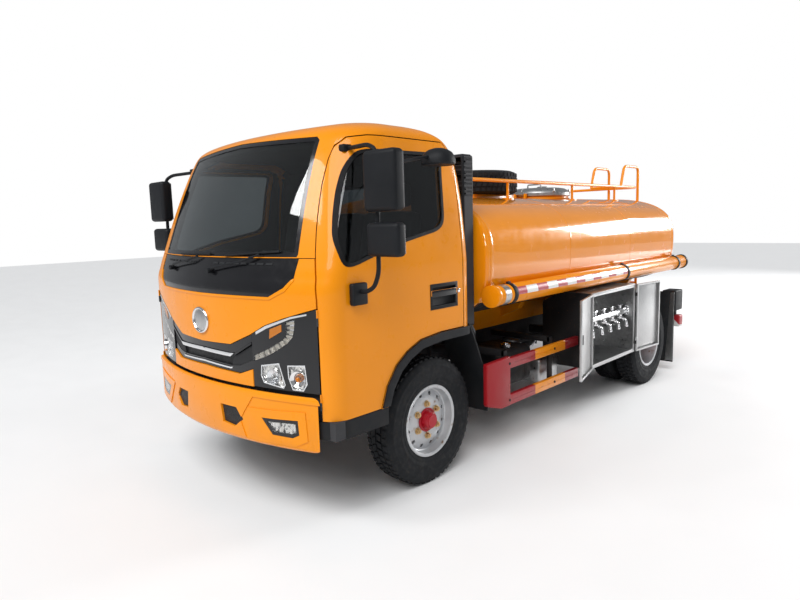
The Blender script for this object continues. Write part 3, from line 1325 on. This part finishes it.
def fuel_tank(truck):
    body = rounded_box("fuel_tank", (0.42, 0.78), (0.76, 1.22), (0.38, 0.645), 0.04, 2)
    join(body, rod("cap", (0.70, 0.99, 0.60), (0.70, 0.99, 0.655), 0.035, 12))
    for y in (0.85, 1.13):
        join(body, box("carrier", (RAIL_OUTER + SEAT_GAP, 0.50), (y - 0.02, y + 0.02), (0.56, 0.62)))
        join(body, box("strap", (0.417, 0.783), (y - 0.015, y + 0.015), (0.42, 0.60)))
    return finish(body, "fuel_tank", truck, (0.05, 0.05, 0.055), 0.45)


def air_tank(truck):
    body = rounded_box("air_tank", (0.45, 0.78), (1.33, 1.61), (0.31, 0.50), 0.03, 2)
    join(body, box("carrier", (RAIL_OUTER + SEAT_GAP, 0.50), (1.44, 1.50), (0.56, 0.60)))
    join(body, box("hanger", (0.46, 0.50), (1.44, 1.50), (0.45, 0.60)))
    return finish(body, "air_tank", truck, STEEL, 0.4, 0.7)


def silencer(truck):
    body = rod("silencer", (-0.60, 0.78, 0.47), (-0.60, 1.40, 0.47), 0.12, 20)
    join(body, tube("tail_pipe", [(-0.60, 1.38, 0.47), (-0.60, 1.55, 0.45), (-0.70, 1.64, 0.42)], 0.028))
    for y in (0.88, 1.30):
        join(body, box("carrier", (-0.62, -RAIL_OUTER - SEAT_GAP), (y - 0.02, y + 0.02), (0.57, 0.62)))
    return finish(body, "silencer", truck, (0.30, 0.29, 0.28), 0.6, 0.8)


def battery_box(truck):
    body = rounded_box("battery_box", (-0.88, -0.46), (1.76, 2.22), (0.40, 0.70), 0.015, 1)
    for y in (1.86, 2.12):
        join(body, box("carrier", (-0.50, -RAIL_OUTER - SEAT_GAP), (y - 0.03, y + 0.03), (0.60, 0.66)))
    return finish(body, "battery_box", truck, DARK_STEEL, 0.6)


def rear_flaps(truck):
    """The mud flaps behind the rear wheels, on one cross bar under the frame."""
    bar = box("bar", (-0.62, 0.62), (3.56, 3.60), (RAIL_BOTTOM - 0.04, RAIL_BOTTOM - SEAT_GAP))
    for side in (1, -1):
        join(bar, box("arm", sorted((side * 0.58, side * 0.62)), (3.54, 3.60), (0.512, 0.548)))
        flap = sorted((side * 0.58, side * 0.98))
        join(bar, box("flap", flap, (3.535, 3.547), (0.09, 0.80)))
        edge = [(0.98, 0.80), (0.94, 0.80), (0.90, 0.10), (0.98, 0.10)]
        join(bar, plate("edge", mirrored_to(side, edge), "Y", 3.532, 3.550))
    return finish(bar, "rear_flaps", truck, BLACK, 0.7)


def rear_bar(truck):
    """The rear guard bar and the boards of the tail lamps, hung from the rails."""
    along = (3.84, WHEELBASE + REAR_OVERHANG)
    bar = rounded_box("bar", (-0.93, 0.93), along, (0.40, REAR_BAR_TOP), 0.010, 1)
    for side in (1, -1):
        low, high = sorted((side * 0.30, side * 0.34))
        leg = [(3.62, RAIL_BOTTOM - SEAT_GAP), (3.78, RAIL_BOTTOM - SEAT_GAP), (3.88, 0.50), (3.88, 0.42),
               (3.78, 0.42)]
        join(bar, plate("leg", leg, "X", low, high))
        lamp = sorted((side * 0.79, side * 0.93))
        join(bar, box("lamp", lamp, (3.72, 3.93), (0.58, 0.79)))
        join(bar, box("lamp_leg", sorted((side * 0.82, side * 0.88)), (3.87, 3.90), (0.50, 0.60)))
    return finish(bar, "rear_bar", truck, (0.45, 0.02, 0.015), 0.4)


def spare_wheel(truck):
    """The spare wheel, lying on two bearers on the tank."""
    y, low = 1.525, TANK_TOP + 0.0273
    centre = low + TYRE_HALF_WIDTH
    solid = [
        (0.0, 0.02), (0.12, 0.03), (0.195, 0.075), (0.235, 0.082), (0.300, TYRE_HALF_WIDTH), (0.360, 0.086),
        (TYRE_RADIUS, 0.060), (TYRE_RADIUS, -0.060), (0.360, -0.086), (0.300, -TYRE_HALF_WIDTH),
        (0.22, -0.082), (0.0, -0.06),
    ]
    wheel = turned("spare", solid, (0, y, centre), (0, 0, 1), FACETS, closed=False)
    for x in (-0.20, 0.20):
        bearer = box("bearer", (x - 0.03, x + 0.03), (y - 0.30, y + 0.30), (TANK_TOP - 0.02, low + 0.02))
        join(wheel, cut(bearer, tank_clearance()))
    return finish(wheel, "spare_wheel", truck, (0.02, 0.02, 0.02), 0.85)


def snorkel(truck):
    """The upright air intake behind the cab, with louvres at its head, on a foot from the frame."""
    body = rounded_box("snorkel", (0.74, 0.83), (0.345, 0.455), (0.90, 1.97), 0.015, 1)
    for i in range(7):
        z = 1.72 + i * 0.032
        cut(body, box("louvre", (0.70, 0.90), (0.335, 0.375), (z, z + 0.016)))
    foot = [(0.785, 0.42, 0.92), (0.785, 0.47, 0.84), (0.74, 0.53, 0.74), (RAIL_OUTER + 0.02, 0.56, 0.67)]
    join(body, tube("foot", foot, 0.03))
    join(body, box("pad", (RAIL_OUTER + SEAT_GAP, RAIL_OUTER + 0.03), (0.52, 0.60), (0.60, 0.71)))
    return finish(body, "snorkel", truck, BLACK, 0.6)


def build():
    clear_scene()
    truck = pivot("truck", (0, 0, 0))
    for make in (
        chassis_frame, front_axle, rear_axle, engine_block, propshaft, bumper, fuel_tank, air_tank, silencer,
        battery_box, tank, manhole_lid, railing, cabinet, mudguards, rear_flaps, rear_bar, spare_wheel,
        snorkel,
    ):
        make(truck)
    cabinet_door(truck, "cabinet_door_front", CABINET_FRONT, 1)
    cabinet_door(truck, "cabinet_door_rear", CABINET_REAR, -1)
    cab = pivot("cab_tilt", (0, *TILT_AXIS), truck)
    cab_shell(cab)
    front_panels(cab)
    cab_glass(cab)
    cab_interior(cab)
    fenders(cab)
    steering_wheel(cab)
    for side, hand in ((1, "left"), (-1, "right")):
        hose_tube(truck, side, "hose_tube_" + hand)
        side_guard(truck, side, "side_guard_" + hand)
        door(cab, side, "door_" + hand)
        kingpin = pivot("kingpin_" + hand, (side * KINGPIN_HALF, 0, TYRE_RADIUS), truck)
        knuckle("knuckle_" + hand, kingpin, side)
        front_hub = pivot("front_hub_" + hand, (side * FRONT_TRACK_HALF, 0, TYRE_RADIUS), kingpin)
        front_rim("front_rim_" + hand, front_hub, side)
        tyre("front_tyre_" + hand, front_hub, FRONT_TRACK_HALF, 0, side)
        rear_middle = (REAR_INNER_HALF + REAR_OUTER_HALF) / 2
        rear_hub = pivot("rear_hub_" + hand, (side * rear_middle, WHEELBASE, TYRE_RADIUS), truck)
        rear_rim("rear_rim_" + hand, rear_hub, side)
        tyre("rear_tyre_inner_" + hand, rear_hub, REAR_INNER_HALF, WHEELBASE, side)
        tyre("rear_tyre_outer_" + hand, rear_hub, REAR_OUTER_HALF, WHEELBASE, side)


build()
